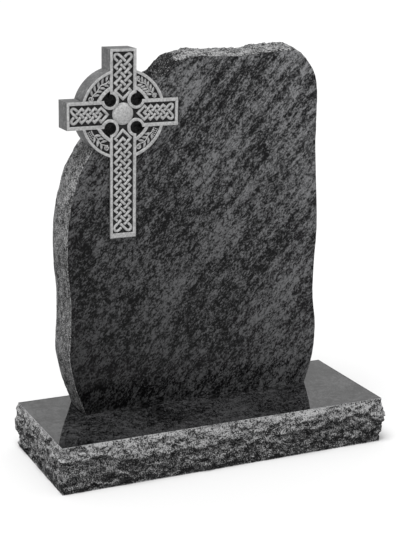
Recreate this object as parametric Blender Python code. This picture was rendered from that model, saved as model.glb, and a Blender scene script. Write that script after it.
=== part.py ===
"""Cross headstone: a rock-edged tablet with a Celtic cross carved from the same slab, on a low base.

Metres, +Z up. The front faces -Y and the origin is on the middle of the base's underside.
"""
import math

import bmesh
import bpy
from mathutils import Matrix, Vector, kdtree, noise

# Base
BASE_WIDTH = 0.762
BASE_DEPTH = 0.286
BASE_HEIGHT = 0.104
BASE_BULGE = 0.0085
BASE_ROUGHNESS = 0.0050
BASE_CELL = 0.024
BASE_ROWS = 5
COARSE_BREAK = 0.071
FINE_BREAK = 0.021

# Tablet
TABLET_SETBACK = 0.160
TABLET_WIDTH = 0.600
TABLET_HEIGHT = 0.770
TABLET_THICKNESS = 0.092
TABLET_BULGE = 0.0050
TABLET_TOP_SWELL = 0.0040
TABLET_ROUGHNESS = 0.0030
BED_JOINT = 0.0003
OUTLINE_STEPS = 2

# Cross
CROSS_CENTRE_X = -0.186
CROSS_RISE = 0.6512
CROSS_THICKNESS = 0.050
CROSS_PROUD = 0.006
LIMB_WIDTH = 0.058
TOP_REACH = 0.134
SIDE_REACH = 0.1235
FOOT_REACH = 0.2625
SHAFT_BORDER = 0.0058
ARM_BORDER = 0.0072
END_BORDER = 0.0056
FOOT_BORDER = 0.0095

# Ring of the cross
RING_RADIUS = 0.094
RING_RIM = 0.0058
RING_INNER_RADIUS = 0.057
RING_INNER_BAND = 0.007
RING_SEGMENTS = 56

# Hollows in the angles of the cross, and the boss
HOLLOW_RADIUS = 0.0132
HOLLOW_RIM = 0.0060
HOLLOW_DEPTH = 0.014
BOSS_RADIUS = 0.0235
BOSS_LEDGE = 0.0010
BOSS_CROWN = 0.0020
BOSS_SIDES = 20
BOSS_RINGS = 6
ROUND_SEGMENTS = 28

# Carving
CARVING_DEPTH = 0.0040
STRAND_WIDTH = 0.0050
STRAND_DEPTH = 0.0060
STRAND_OVER = 0.0003
STRAND_UNDER = 0.0021
KNOT_CLEARANCE = 0.0020
SHAFT_KNOT_APEX = 0.0340
TOP_KNOT_APEX = 0.0310
SIDE_KNOT_APEX = 0.0337
SHAFT_KNOT_MARGIN = 0.0058
ARM_KNOT_MARGIN = 0.0074
SHAFT_STEPS = 25
TOP_STEPS = 11
SIDE_STEPS = 11
LOOP_REACH = 0.21
OVERRUN = 0.010

# Leaves, spirals and beads of the four quadrants; a share runs from the side arm (0) to the upright (1)
ARC_START = math.radians(24)
SPIRAL_SHARES = {(1, 1): (0.05, 0.96), (-1, 1): (0.03,), (-1, -1): (0.92,), (1, -1): (0.95,)}
LEAF_SHARES = {(1, 1): (0.24, 0.80), (-1, 1): (0.24, 0.98), (-1, -1): (0.34, 0.74), (1, -1): (0.34, 0.76)}
SPIRAL_CENTRE_RADIUS = 0.0785
SPIRAL_RADIUS = 0.0054
SPIRAL_WIDTH = 0.0018
SPIRAL_TURNS = 1.4
SPIRAL_STEPS = 11
SPIRAL_TIGHTNESS = 0.75
STEM_RADIUS = 0.0760
LEAF_OFFSET = 0.0056
LEAF_PAIRS = 4
LEAF_LENGTH = 0.0140
LEAF_WIDTH = 0.0056
LEAF_RISE = 0.0034
LEAF_LEAN = math.radians(46)
LEAF_SIDES = 6
LEAF_RINGS = 6
BEAD_RINGS = 4
BEAD_ROWS = 3
BEAD_COUNT = 4
BEAD_PITCH = 0.0042
BEAD_RADIUS = 0.0017
BEAD_SIDES = 6

# Tablet outline from the left foot round to the right foot, as shares of its width and height
TABLET_OUTLINE = [
    (-0.450, 0.000), (-0.465, 0.035), (-0.485, 0.077), (-0.497, 0.118), (-0.507, 0.161),
    (-0.507, 0.197), (-0.503, 0.240), (-0.502, 0.301), (-0.503, 0.349), (-0.510, 0.397),
    (-0.513, 0.442), (-0.513, 0.514), (-0.505, 0.577), (-0.490, 0.629), (-0.467, 0.686),
    (-0.437, 0.727), (-0.410, 0.758), (-0.377, 0.790), (-0.333, 0.829), (-0.287, 0.873),
    (-0.237, 0.908), (-0.185, 0.939), (-0.150, 0.958), (-0.110, 0.978), (-0.075, 0.986),
    (-0.037, 0.992), (0.040, 0.990), (0.140, 0.988), (0.223, 0.994), (0.308, 0.999), (0.365, 0.995),
    (0.407, 0.973), (0.440, 0.939), (0.455, 0.904), (0.460, 0.847), (0.460, 0.739), (0.465, 0.666),
    (0.475, 0.562), (0.480, 0.475), (0.475, 0.397), (0.472, 0.319), (0.475, 0.262), (0.487, 0.192),
    (0.488, 0.144), (0.482, 0.086), (0.465, 0.035), (0.450, 0.000),
]

# Values worked out from the sizes above
TABLET_FRONT = -BASE_DEPTH / 2 + TABLET_SETBACK
TABLET_BACK = TABLET_FRONT + TABLET_THICKNESS
TABLET_FOOT = BASE_HEIGHT + BED_JOINT
CROSS_CENTRE_Z = TABLET_FOOT + CROSS_RISE
CROSS_FRONT = TABLET_FRONT - CROSS_PROUD
HALF_LIMB = LIMB_WIDTH / 2
RIM_RADIUS = HOLLOW_RADIUS + HOLLOW_RIM
QUADRANT_INNER = RING_INNER_RADIUS + RING_INNER_BAND
QUADRANT_OUTER = RING_RADIUS - RING_RIM
SHAFT_PANEL = LIMB_WIDTH - 2 * SHAFT_BORDER
ARM_PANEL = LIMB_WIDTH - 2 * ARM_BORDER
QUADRANTS = ((1, 1), (-1, 1), (-1, -1), (1, -1))


def clear_scene():
    for thing in list(bpy.data.objects):
        bpy.data.objects.remove(thing)


def make_collection(name):
    group = bpy.data.collections.new(name)
    bpy.context.scene.collection.children.link(group)
    return group


def granite(name, colour, roughness):
    material = bpy.data.materials.new(name)
    material.use_nodes = True
    shader = material.node_tree.nodes["Principled BSDF"]
    shader.inputs["Base Color"].default_value = (*colour, 1.0)
    shader.inputs["Roughness"].default_value = roughness
    shader.inputs["Metallic"].default_value = 0.0
    return material


def mesh_object(name, form, group):
    mesh = bpy.data.meshes.new(name)
    form.to_mesh(mesh)
    form.free()
    thing = bpy.data.objects.new(name, mesh)
    group.objects.link(thing)
    return thing


def as_guide(thing):
    thing.hide_render = True
    thing.display_type = "WIRE"
    return thing


# A cutter or an added form is drawn on the cross's own face: u to the right, v up and w out of the face
def on_cross(thing):
    thing.rotation_euler = (math.radians(90), 0, 0)
    thing.location = (CROSS_CENTRE_X, CROSS_FRONT, CROSS_CENTRE_Z)
    return thing


def curve_to_mesh(thing, group):
    bpy.context.view_layer.update()
    evaluated = thing.evaluated_get(bpy.context.evaluated_depsgraph_get())
    mesh = bpy.data.meshes.new_from_object(evaluated)
    form = bmesh.new()
    form.from_mesh(mesh)
    bmesh.ops.remove_doubles(form, verts=form.verts, dist=1e-6)
    bmesh.ops.recalc_face_normals(form, faces=form.faces)
    form.to_mesh(mesh)
    form.free()
    solid = bpy.data.objects.new(thing.name + "_solid", mesh)
    solid.matrix_world = thing.matrix_world
    group.objects.link(solid)
    bpy.data.objects.remove(thing)
    return solid


# A flat outline becomes a plate between two depths on the cross's face
def face_plate(name, outline, w_range, group):
    data = bpy.data.curves.new(name, "CURVE")
    data.dimensions = "2D"
    data.fill_mode = "BOTH"
    data.extrude = (w_range[1] - w_range[0]) / 2
    spline = data.splines.new("POLY")
    spline.points.add(len(outline) - 1)
    for point, (u, v) in zip(spline.points, outline):
        point.co = (u, v, 0, 1)
    spline.use_cyclic_u = True
    plate = on_cross(bpy.data.objects.new(name, data))
    plate.location.y -= sum(w_range) / 2
    group.objects.link(plate)
    return as_guide(curve_to_mesh(plate, group))


def arc(radius, start, end, segments, centre=(0.0, 0.0)):
    angles = [start + (end - start) * k / segments for k in range(segments + 1)]
    return [(centre[0] + radius * math.cos(a), centre[1] + radius * math.sin(a)) for a in angles]


def boolean(target, tool, operation, crosses_itself=False):
    step = target.modifiers.new(tool.name, "BOOLEAN")
    step.object = tool
    step.operation = operation
    step.solver = "EXACT"
    step.use_self = crosses_itself
    return step


# Rock-pitched stone: how far a broken face stands out at a place on it
def broken_face(place, bulge, roughness):
    coarse = noise.noise(place / COARSE_BREAK)
    fine = noise.noise(place / FINE_BREAK + Vector((3.1, 7.7, 1.9)))
    return bulge + roughness * (coarse + 0.6 * fine)


def build_base(group, material):
    form = bmesh.new()
    bmesh.ops.create_cube(form, size=1.0)
    bmesh.ops.scale(form, verts=form.verts, vec=(BASE_WIDTH, BASE_DEPTH, BASE_HEIGHT))
    bmesh.ops.translate(form, verts=form.verts, vec=(0, 0, BASE_HEIGHT / 2))
    columns = round(BASE_WIDTH / BASE_CELL)
    depths = round(BASE_DEPTH / BASE_CELL)
    across, forward, upward = Vector((1, 0, 0)), Vector((0, 1, 0)), Vector((0, 0, 1))
    cuts = [(across * BASE_WIDTH * (k / columns - 0.5), across) for k in range(1, columns)]
    cuts += [(forward * BASE_DEPTH * (k / depths - 0.5), forward) for k in range(1, depths)]
    cuts += [(upward * BASE_HEIGHT * k / BASE_ROWS, upward) for k in range(1, BASE_ROWS)]
    for place, normal in cuts:
        everything = form.verts[:] + form.edges[:] + form.faces[:]
        bmesh.ops.bisect_plane(form, geom=everything, plane_co=place, plane_no=normal)
    flat_edges = [e for e in form.edges if len(e.link_faces) == 2
                  and all(abs(f.normal.z) > 0.9 for f in e.link_faces)]
    bmesh.ops.dissolve_edges(form, edges=flat_edges, use_verts=True)
    for vertex in form.verts:
        share = vertex.co.z / BASE_HEIGHT
        if share < 0.001 or share > 0.999:
            continue
        swell = math.sin(math.pi * share) ** 0.6
        step = swell * broken_face(vertex.co, BASE_BULGE, BASE_ROUGHNESS)
        outward = Vector((0, 0, 0))
        if abs(abs(vertex.co.x) - BASE_WIDTH / 2) < 1e-6:
            outward.x = math.copysign(1, vertex.co.x)
        if abs(abs(vertex.co.y) - BASE_DEPTH / 2) < 1e-6:
            outward.y = math.copysign(1, vertex.co.y)
        vertex.co += outward.normalized() * step
    bmesh.ops.triangulate(form, faces=form.faces)
    base = mesh_object("base", form, group)
    base.data.materials.append(material)
    return base


def smooth_outline(points, steps):
    ends = [points[0]] + list(points) + [points[-1]]
    curve = []
    for a, b, c, d in zip(ends, ends[1:], ends[2:], ends[3:]):
        for k in range(steps):
            t = k / steps
            curve.append(tuple(
                0.5 * (2 * b[n] + (c[n] - a[n]) * t + (2 * a[n] - 5 * b[n] + 4 * c[n] - d[n]) * t ** 2
                       + (3 * b[n] - a[n] - 3 * c[n] + d[n]) * t ** 3) for n in (0, 1)))
    curve.append(points[-1])
    return curve


def build_tablet(group):
    points = [(x * TABLET_WIDTH, z * TABLET_HEIGHT) for x, z in TABLET_OUTLINE]
    outline = smooth_outline(points, OUTLINE_STEPS)
    form = bmesh.new()
    ring = [form.verts.new((x, TABLET_FRONT, TABLET_FOOT + z)) for x, z in outline]
    face = form.faces.new(ring)
    count = len(outline)
    outward = []
    for k in range(count):
        before = Vector(outline[max(k - 1, 0)])
        after = Vector(outline[min(k + 1, count - 1)])
        along = (after - before).normalized()
        outward.append(Vector((-along.y, 0, along.x)))
    shares = (0.0, 0.22, 0.5, 0.78, 1.0)
    front = face
    for last, share in zip(shares, shares[1:]):
        grown = bmesh.ops.extrude_face_region(form, geom=[face])
        if face is not front:
            form.faces.remove(face)
        face = [f for f in grown["geom"] if isinstance(f, bmesh.types.BMFace)][0]
        new_ring = [v for v in grown["geom"] if isinstance(v, bmesh.types.BMVert)]
        bmesh.ops.translate(form, verts=new_ring, vec=(0, TABLET_THICKNESS * (share - last), 0))
    stations = kdtree.KDTree(count)
    for k, (x, z) in enumerate(outline):
        stations.insert((x, 0, TABLET_FOOT + z), k)
    stations.balance()
    for vertex in form.verts:
        k = stations.find((vertex.co.x, 0, vertex.co.z))[1]
        share = (vertex.co.y - TABLET_FRONT) / TABLET_THICKNESS
        if 0.01 < share < 0.99 and 0 < k < count - 1:
            bulge = TABLET_BULGE + TABLET_TOP_SWELL * max(0.0, outward[k].z)
            vertex.co += outward[k] * broken_face(vertex.co, bulge, TABLET_ROUGHNESS)
    bmesh.ops.triangulate(form, faces=form.faces)
    bmesh.ops.recalc_face_normals(form, faces=form.faces)
    return mesh_object("headstone", form, group)


def block(name, u_range, v_range, w_range, group):
    form = bmesh.new()
    bmesh.ops.create_cube(form, size=1.0)
    lows, highs = zip(u_range, v_range, w_range)
    bmesh.ops.scale(form, verts=form.verts, vec=[high - low for low, high in zip(lows, highs)])
    bmesh.ops.translate(form, verts=form.verts, vec=[(high + low) / 2 for low, high in zip(lows, highs)])
    return as_guide(on_cross(mesh_object(name, form, group)))


def drum(name, radius, segments, centre, w_range, group):
    form = bmesh.new()
    bmesh.ops.create_cone(form, cap_ends=True, segments=segments, radius1=radius, radius2=radius,
                          depth=w_range[1] - w_range[0])
    bmesh.ops.translate(form, verts=form.verts, vec=(centre[0], centre[1], sum(w_range) / 2))
    return as_guide(on_cross(mesh_object(name, form, group)))


def cross_slab(group):
    depth = (-CROSS_THICKNESS, 0)
    slab = drum("ring_disc", RING_RADIUS, RING_SEGMENTS, (0, 0), depth, group)
    shaft = block("shaft_block", (-HALF_LIMB, HALF_LIMB), (-FOOT_REACH, TOP_REACH), depth, group)
    arms = block("arms_block", (-SIDE_REACH, SIDE_REACH), (-HALF_LIMB, HALF_LIMB), depth, group)
    boolean(slab, shaft, "UNION")
    boolean(slab, arms, "UNION")
    return slab


# The sunk ground of the four knot panels runs together round the boss, between the rims of the hollows
def panel_ground(group):
    depth = (-CARVING_DEPTH, OVERRUN)
    half_shaft = SHAFT_PANEL / 2
    half_arm = ARM_PANEL / 2
    ground = block("shaft_ground", (-half_shaft, half_shaft),
                   (-FOOT_REACH + FOOT_BORDER, TOP_REACH - END_BORDER), depth, group)
    arms = block("arms_ground", (-SIDE_REACH + END_BORDER, SIDE_REACH - END_BORDER),
                 (-half_arm, half_arm), depth, group)
    boolean(ground, arms, "UNION")
    full_depth = (-CARVING_DEPTH - OVERRUN, 2 * OVERRUN)
    boolean(ground, drum("boss_keep", BOSS_RADIUS, ROUND_SEGMENTS, (0, 0), full_depth, group), "DIFFERENCE")
    for sign_u, sign_v in QUADRANTS:
        corner = (sign_u * HALF_LIMB, sign_v * HALF_LIMB)
        rim = drum("rim_keep", RIM_RADIUS, ROUND_SEGMENTS, corner, full_depth, group)
        boolean(ground, rim, "DIFFERENCE")
    return ground


def quadrant_outline(sign_u, sign_v):
    inner = math.asin(HALF_LIMB / QUADRANT_INNER)
    outer = math.asin(HALF_LIMB / QUADRANT_OUTER)
    points = arc(QUADRANT_OUTER, outer, math.pi / 2 - outer, 14)
    points += arc(QUADRANT_INNER, math.pi / 2 - inner, inner, 8)
    return [(sign_u * u, sign_v * v) for u, v in points]


# A hollow is a round sinking at the angle of two limbs, run out to a point on each side under the ring
def cut_hollow(target, sign_u, sign_v, group):
    corner = (sign_u * HALF_LIMB, sign_v * HALF_LIMB)
    depth = (-HOLLOW_DEPTH, OVERRUN)
    inner = math.asin(HALF_LIMB / RING_INNER_RADIUS)
    points = arc(RING_INNER_RADIUS, inner, math.pi / 2 - inner, 6)
    wedge = [(sign_u * u, sign_v * v) for u, v in points] + [corner]
    boolean(target, drum("hollow_round", HOLLOW_RADIUS, ROUND_SEGMENTS, corner, depth, group), "DIFFERENCE")
    boolean(target, face_plate("hollow_wedge", wedge, depth, group), "DIFFERENCE")


# The plait runs on a lattice: column 0 to 4 across the panel, row 0 at its outer end, last_row at its
# point. A strand turns back at the sides, at the outer end and at the two nested points near the boss.
def turned_step(node, step, last_row):
    across, along = step
    if node[0] in (0, 4):
        across = -across
    if node[1] == 0 or node in ((2, last_row), (2, last_row - 2)):
        along = -along
    return across, along


def plait_loops(last_row):
    inner_point = (2, last_row - 2)
    beside_point = ((0, last_row), (4, last_row))
    free = set()
    for row in range(last_row):
        for column in range(5):
            for across in (-1, 1):
                ends = ((column, row), (column + across, row + 1))
                on_lattice = (column + row) % 2 == 1 and 0 <= column + across <= 4
                if on_lattice and ends[0] != inner_point and ends[1] not in beside_point:
                    free.add(ends)
    loops = []
    while free:
        first, second = min(free, key=lambda ends: (ends[0][1], ends[0][0], ends[1][0]))
        start = (first, (second[0] - first[0], 1))
        node, step = start
        loop = []
        while not loop or (node, step) != start:
            loop.append((node, step))
            ahead = (node[0] + step[0], node[1] + step[1])
            free.discard((min(node, ahead, key=lambda n: n[1]), max(node, ahead, key=lambda n: n[1])))
            node, step = ahead, turned_step(ahead, step, last_row)
        loops.append(loop)
    return loops


# The strands of the outer corners turn in a half round through these lattice places
def corner_round(from_side):
    reach = math.sqrt(0.5)
    turns = [math.radians(a) for a in (270, 225, 180)]
    places = [(0.5 + reach * math.cos(a), 0.5 + reach * math.sin(a)) for a in turns]
    return places[::-1] if from_side else places


def strand_level(node, step, last_row, turn):
    column, row = node
    if column in (0, 4) or row == 0 or (column == 2 and row >= last_row - 2):
        return 0.5
    if row == last_row - 1:
        return 1.0
    rising = step[0] * step[1] < 0
    if turn in (1, 3):
        rising = not rising
    over = rising if column != 2 else not rising
    return 1.0 if over else 0.0


# Turns a place drawn above the boss round it by quarter turns: 0 top arm, 1 right arm, 2 shaft, 3 left arm
def turned(place, quarters):
    spin = -math.pi / 2 * quarters
    return Vector((place.x * math.cos(spin) - place.y * math.sin(spin),
                   place.x * math.sin(spin) + place.y * math.cos(spin)))


def knot_paths(last_row, apex, outer_end, half_tip, quarters):
    half_row = (outer_end - STRAND_WIDTH / 2 - apex) / (last_row + LOOP_REACH)
    column_width = half_tip / 2

    def place(column, row):
        return turned(Vector(((column - 2) * column_width, apex + (last_row - row) * half_row)), quarters)

    paths = []
    for loop in plait_loops(last_row):
        path = []
        for k, (node, step) in enumerate(loop):
            level = strand_level(node, step, last_row, quarters)
            path.append((place(*node), -STRAND_OVER * level - STRAND_UNDER * (1 - level)))
            following = loop[(k + 1) % len(loop)][0]
            if {node[1], following[1]} == {0, 1} and {node[0], following[0]} in ({0, 1}, {3, 4}):
                mirrored = 4 in (node[0], following[0])
                for column, row in corner_round(node[1] == 1):
                    turn = place(4 - column if mirrored else column, row)
                    path.append((turn, -(STRAND_OVER + STRAND_UNDER) / 2))
        paths.append(path)
    return paths


# A spiral from its outer end inwards, and its end cut square
def spiral_path(centre, radius, start, handed):
    path = []
    for k in range(SPIRAL_STEPS + 1):
        share = k / SPIRAL_STEPS
        angle = start + handed * share * SPIRAL_TURNS * 2 * math.pi
        reach = radius * (1 - SPIRAL_TIGHTNESS * share)
        path.append((centre + Vector((math.cos(angle), math.sin(angle))) * reach, -STRAND_UNDER))
    return path


# A path of (place, height of its top) becomes a swept strand of square section
def add_strand(data, path, width, closed):
    spline = data.splines.new("POLY")
    spline.points.add(len(path) - 1)
    count = len(path)
    thickness = width / STRAND_WIDTH
    for k, (place, top) in enumerate(path):
        swell = 1.0
        if closed or 0 < k < count - 1:
            before = (place - path[k - 1][0]).normalized()
            after = (path[(k + 1) % count][0] - place).normalized()
            swell = 1 / math.cos(before.angle(after) / 2)
        swell *= thickness
        spline.points[k].co = (place.x, place.y, top - STRAND_DEPTH / 2 * swell, 1)
        spline.points[k].radius = swell
    spline.use_cyclic_u = closed


def strand_section(group):
    data = bpy.data.curves.new("strand_section", "CURVE")
    data.dimensions = "2D"
    spline = data.splines.new("POLY")
    spline.points.add(3)
    corners = [(-1, -1), (1, -1), (1, 1), (-1, 1)]
    for point, (across, up) in zip(spline.points, corners):
        point.co = (across * STRAND_WIDTH / 2, up * STRAND_DEPTH / 2, 0, 1)
    spline.use_cyclic_u = True
    section = bpy.data.objects.new("strand_section", data)
    group.objects.link(section)
    return as_guide(section)


# Leaf blades and beads are stretched balls sunk by half in the ground of their quadrant
def add_ball(form, centre, heading, half_sizes, sides, rings):
    made = bmesh.ops.create_uvsphere(form, u_segments=sides, v_segments=rings, radius=1.0)
    bmesh.ops.scale(form, verts=made["verts"], vec=half_sizes)
    bmesh.ops.rotate(form, verts=made["verts"], cent=(0, 0, 0), matrix=Matrix.Rotation(heading, 3, "Z"))
    bmesh.ops.translate(form, verts=made["verts"], vec=(centre.x, centre.y, -CARVING_DEPTH))


# Ornament of one quadrant, laid out along its arc from the side arm (share 0) to the upright (share 1)
def quadrant_work(sign_u, sign_v, form, strands):
    arc_span = math.pi / 2 - 2 * ARC_START

    def polar(share, radius):
        angle = ARC_START + share * arc_span
        return Vector((sign_u * math.cos(angle), sign_v * math.sin(angle))) * radius, angle

    def leaf(share, side):
        centre, angle = polar(share, STEM_RADIUS + side * LEAF_OFFSET)
        heading = angle + math.pi / 2 - side * LEAF_LEAN
        heading = math.atan2(sign_v * math.sin(heading), sign_u * math.cos(heading))
        half_sizes = (LEAF_LENGTH / 2, LEAF_WIDTH / 2, LEAF_RISE)
        add_ball(form, centre, heading, half_sizes, LEAF_SIDES, LEAF_RINGS)

    for share in SPIRAL_SHARES[sign_u, sign_v]:
        centre, angle = polar(share, SPIRAL_CENTRE_RADIUS)
        strands.append((spiral_path(centre, SPIRAL_RADIUS, angle, sign_u * sign_v), SPIRAL_WIDTH, False))
    first, last = LEAF_SHARES[sign_u, sign_v]
    for k in range(LEAF_PAIRS):
        for side in (-1, 1):
            leaf(first + (last - first) * k / (LEAF_PAIRS - 1), side)
    if sign_v < 0:
        for row in range(BEAD_ROWS):
            radius = QUADRANT_OUTER - BEAD_PITCH * (row + 0.75)
            for k in range(BEAD_COUNT - row):
                centre, angle = polar((k + 0.4) * BEAD_PITCH / radius / arc_span, radius)
                add_ball(form, centre, angle, (BEAD_RADIUS, BEAD_RADIUS, LEAF_RISE), BEAD_SIDES, BEAD_RINGS)


def carved_work(group):
    data = bpy.data.curves.new("raised_work", "CURVE")
    data.dimensions = "3D"
    data.twist_mode = "Z_UP"
    data.bevel_mode = "OBJECT"
    data.bevel_object = strand_section(group)
    data.use_fill_caps = True
    shaft_tip = SHAFT_PANEL / 2 - SHAFT_KNOT_MARGIN
    arm_tip = ARM_PANEL / 2 - ARM_KNOT_MARGIN
    shaft_end = FOOT_REACH - FOOT_BORDER - KNOT_CLEARANCE
    top_end = TOP_REACH - END_BORDER - KNOT_CLEARANCE
    side_end = SIDE_REACH - END_BORDER - KNOT_CLEARANCE
    paths = knot_paths(TOP_STEPS, TOP_KNOT_APEX, top_end, shaft_tip, 0)
    paths += knot_paths(SIDE_STEPS, SIDE_KNOT_APEX, side_end, arm_tip, 1)
    paths += knot_paths(SHAFT_STEPS, SHAFT_KNOT_APEX, shaft_end, shaft_tip, 2)
    paths += knot_paths(SIDE_STEPS, SIDE_KNOT_APEX, side_end, arm_tip, 3)
    strands = [(path, STRAND_WIDTH, True) for path in paths]
    form = bmesh.new()
    for sign_u, sign_v in QUADRANTS:
        quadrant_work(sign_u, sign_v, form, strands)
    for path, width, closed in strands:
        add_strand(data, path, width, closed)
    dome = BOSS_RADIUS - BOSS_LEDGE
    boss = bmesh.ops.create_uvsphere(form, u_segments=BOSS_SIDES, v_segments=BOSS_RINGS, radius=1.0)
    bmesh.ops.scale(form, verts=boss["verts"], vec=(dome, dome, BOSS_CROWN))
    swept = bpy.data.objects.new("raised_work", data)
    group.objects.link(swept)
    work = curve_to_mesh(swept, group)
    form.from_mesh(work.data)
    form.to_mesh(work.data)
    form.free()
    return as_guide(on_cross(work))


def main():
    clear_scene()
    parts = make_collection("cross_headstone")
    guides = make_collection("cutters_and_guides")
    polished = granite("dark_granite_polished", (0.055, 0.055, 0.058), 0.12)
    pitched = granite("dark_granite_rock_pitched", (0.16, 0.16, 0.165), 0.75)
    build_base(parts, pitched)
    headstone = build_tablet(parts)
    headstone.data.materials.append(polished)
    boolean(headstone, cross_slab(guides), "UNION")
    boolean(headstone, panel_ground(guides), "DIFFERENCE")
    for sign_u, sign_v in QUADRANTS:
        outline = quadrant_outline(sign_u, sign_v)
        ground = face_plate("quadrant_ground", outline, (-CARVING_DEPTH, OVERRUN), guides)
        boolean(headstone, ground, "DIFFERENCE")
        cut_hollow(headstone, sign_u, sign_v, guides)
    boolean(headstone, carved_work(guides), "UNION", crosses_itself=True)


if __name__ == "__main__":
    main()
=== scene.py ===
"""Looks of a cross headstone: a rough-edged granite tablet with a ringed knotwork cross, on a low base.

Metres, +Z up, front towards -Y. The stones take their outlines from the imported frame.
"""
import math

import bpy
from mathutils import Matrix, Vector, noise


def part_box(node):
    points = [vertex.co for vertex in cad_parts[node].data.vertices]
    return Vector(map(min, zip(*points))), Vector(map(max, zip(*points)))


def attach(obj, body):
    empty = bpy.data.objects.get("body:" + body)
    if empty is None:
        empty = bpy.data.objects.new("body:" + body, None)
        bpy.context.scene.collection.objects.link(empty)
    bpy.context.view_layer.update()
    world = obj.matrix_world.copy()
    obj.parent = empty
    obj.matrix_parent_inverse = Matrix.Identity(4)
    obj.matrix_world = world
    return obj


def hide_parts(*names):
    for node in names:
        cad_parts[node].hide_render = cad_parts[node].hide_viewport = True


bl_info = {
    "name": "Cross headstone",
    "version": (1, 0, 0),
    "blender": (4, 5, 0),
    "location": "View3D > Sidebar > Headstone",
    "description": "Granite tablet with a carved ringed cross, on a rock-pitched base",
    "category": "Object",
}

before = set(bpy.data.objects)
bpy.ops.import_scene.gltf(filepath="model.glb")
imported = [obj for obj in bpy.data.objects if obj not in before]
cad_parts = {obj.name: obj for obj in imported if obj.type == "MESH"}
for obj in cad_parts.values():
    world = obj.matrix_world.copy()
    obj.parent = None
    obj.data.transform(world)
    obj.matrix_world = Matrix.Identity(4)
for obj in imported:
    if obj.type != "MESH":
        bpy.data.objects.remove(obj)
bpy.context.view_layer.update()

BODY = "root"
BASE_NODE = "base"
STONE_NODE = "headstone"
BASE_SLOT = "base_stone"
TABLET_SLOT = "tablet_stone"

BASE_LOW, BASE_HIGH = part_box(BASE_NODE)
STONE_LOW, STONE_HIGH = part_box(STONE_NODE)
SHARP_ANGLE = math.radians(35)
ROUND_ANGLE = math.radians(50)
MERGE = 1e-6
UPRIGHT = (math.radians(90), 0, 0)


# Sizes and colours a user would change

def length(name, description, default):
    return bpy.props.FloatProperty(
        name=name, description=description, default=default, subtype="DISTANCE", unit="LENGTH")


def colour(name, description, default):
    return bpy.props.FloatVectorProperty(
        name=name, description=description, default=default, size=3, subtype="COLOR")


class StoneSettings(bpy.types.PropertyGroup):
    tablet_thickness: length("Tablet thickness", "Front to back of the tablet", 0.092)
    outline_step: length("Outline step", "Spacing of the mesh along a rough edge", 0.0024)
    arris: length("Arris", "Width of the worn line between polish and rough edge", 0.0011)
    tablet_bulge: length("Tablet edge bulge", "How far the tablet's rough edge swells", 0.0050)
    top_swell: length("Top swell", "Extra swell of the tablet's upper edge", 0.0040)
    base_bulge: length("Base side bulge", "How far the pitched sides of the base swell", 0.0100)
    base_relief: length("Base relief", "Height of the breaks on the sides of the base", 0.0085)
    edge_relief: length("Edge relief", "Height of the breaks on the tablet's edge", 0.0040)
    polished_dark: colour("Polished dark", "Darkest crystals of the polished granite", (0.004, 0.004, 0.0045))
    polished_light: colour(
        "Polished light", "Lightest streaks of the polished granite", (0.190, 0.191, 0.196))
    rough_dark: colour("Rough dark", "Dark crystals of the broken granite", (0.008, 0.008, 0.0085))
    rough_light: colour("Rough light", "Light crystals of the broken granite", (0.330, 0.330, 0.332))


class CrossSettings(bpy.types.PropertyGroup):
    centre_x: length("Centre X", "Middle of the boss, from the middle of the base", -0.186)
    thickness: length("Thickness", "Front to back of the cross", 0.050)
    limb: length("Limb width", "Width of the shaft and the arms", 0.058)
    top_reach: length("Top reach", "Boss centre to the top", 0.134)
    side_reach: length("Side reach", "Boss centre to the end of an arm", 0.1235)
    foot_reach: length("Foot reach", "Boss centre to the foot of the shaft", 0.2625)
    ring_radius: length("Ring radius", "Outside of the ring", 0.094)
    strand_width: length("Strand width", "Width of a carved strand", 0.0055)
    carving_depth: length("Carving depth", "Depth of the sunk ground", 0.0040)
    frosted: colour("Frosted stone", "Colour of the carved, unpolished faces", (0.330, 0.330, 0.330))
    ground: colour("Ground", "Colour of the sunk ground behind the carving", (0.006, 0.006, 0.0065))
    honed: colour("Honed sides", "Colour of the plain sides of the cross", (0.070, 0.070, 0.071))


class StageSettings(bpy.types.PropertyGroup):
    floor_colour: colour("Floor", "Colour of the pale floor", (0.57, 0.57, 0.57))
    sky_light: bpy.props.FloatProperty(
        name="Room light", description="Strength of the even light round the stone", default=0.78, min=0.0)
    key_light: bpy.props.FloatProperty(
        name="Top light", description="Strength of the soft light from above", default=3.8, min=0.0)


# Broken stone: cells of its waves and chips, facets as cell, step and tilt, and the share that each has
WAVE_CELL = 0.085
CHIP_CELL = 0.0050
LARGE_FACETS = (0.030, 0.35, 16.0)
SMALL_FACETS = (0.011, 0.22, 22.0)
STAND_OUT = 0.30
WAVE_SHARE = 0.45
LARGE_SHARE = 2.0
SMALL_SHARE = 1.2
CHIP_SHARE = 0.14
HEIGHT_SPREAD, SLOPE_SPREAD = 3.7, 5.3
WANDER_SHIFTS = ((0.0, 0.0, 0.0), (37.1, 11.3, 5.7), (8.9, 41.7, 23.3))

# Ledges on the base: how far down the lip lies, its reach, and how much of the height the step below takes
LEDGES = ((0.40, 1.0, 0.07), (0.74, 0.50, 0.20))
LEDGE_SHIFT = 0.37
LONG_LIP_WAVE, LONG_LIP_CELL = 0.30, 0.110
SHORT_LIP_WAVE, SHORT_LIP_CELL = 0.12, 0.026
REACH_LEVEL, REACH_SWING, REACH_CELL = 0.65, 0.9, 0.065
LEAST_REACH = 0.15
LEDGE_SWELL = 0.75

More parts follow.
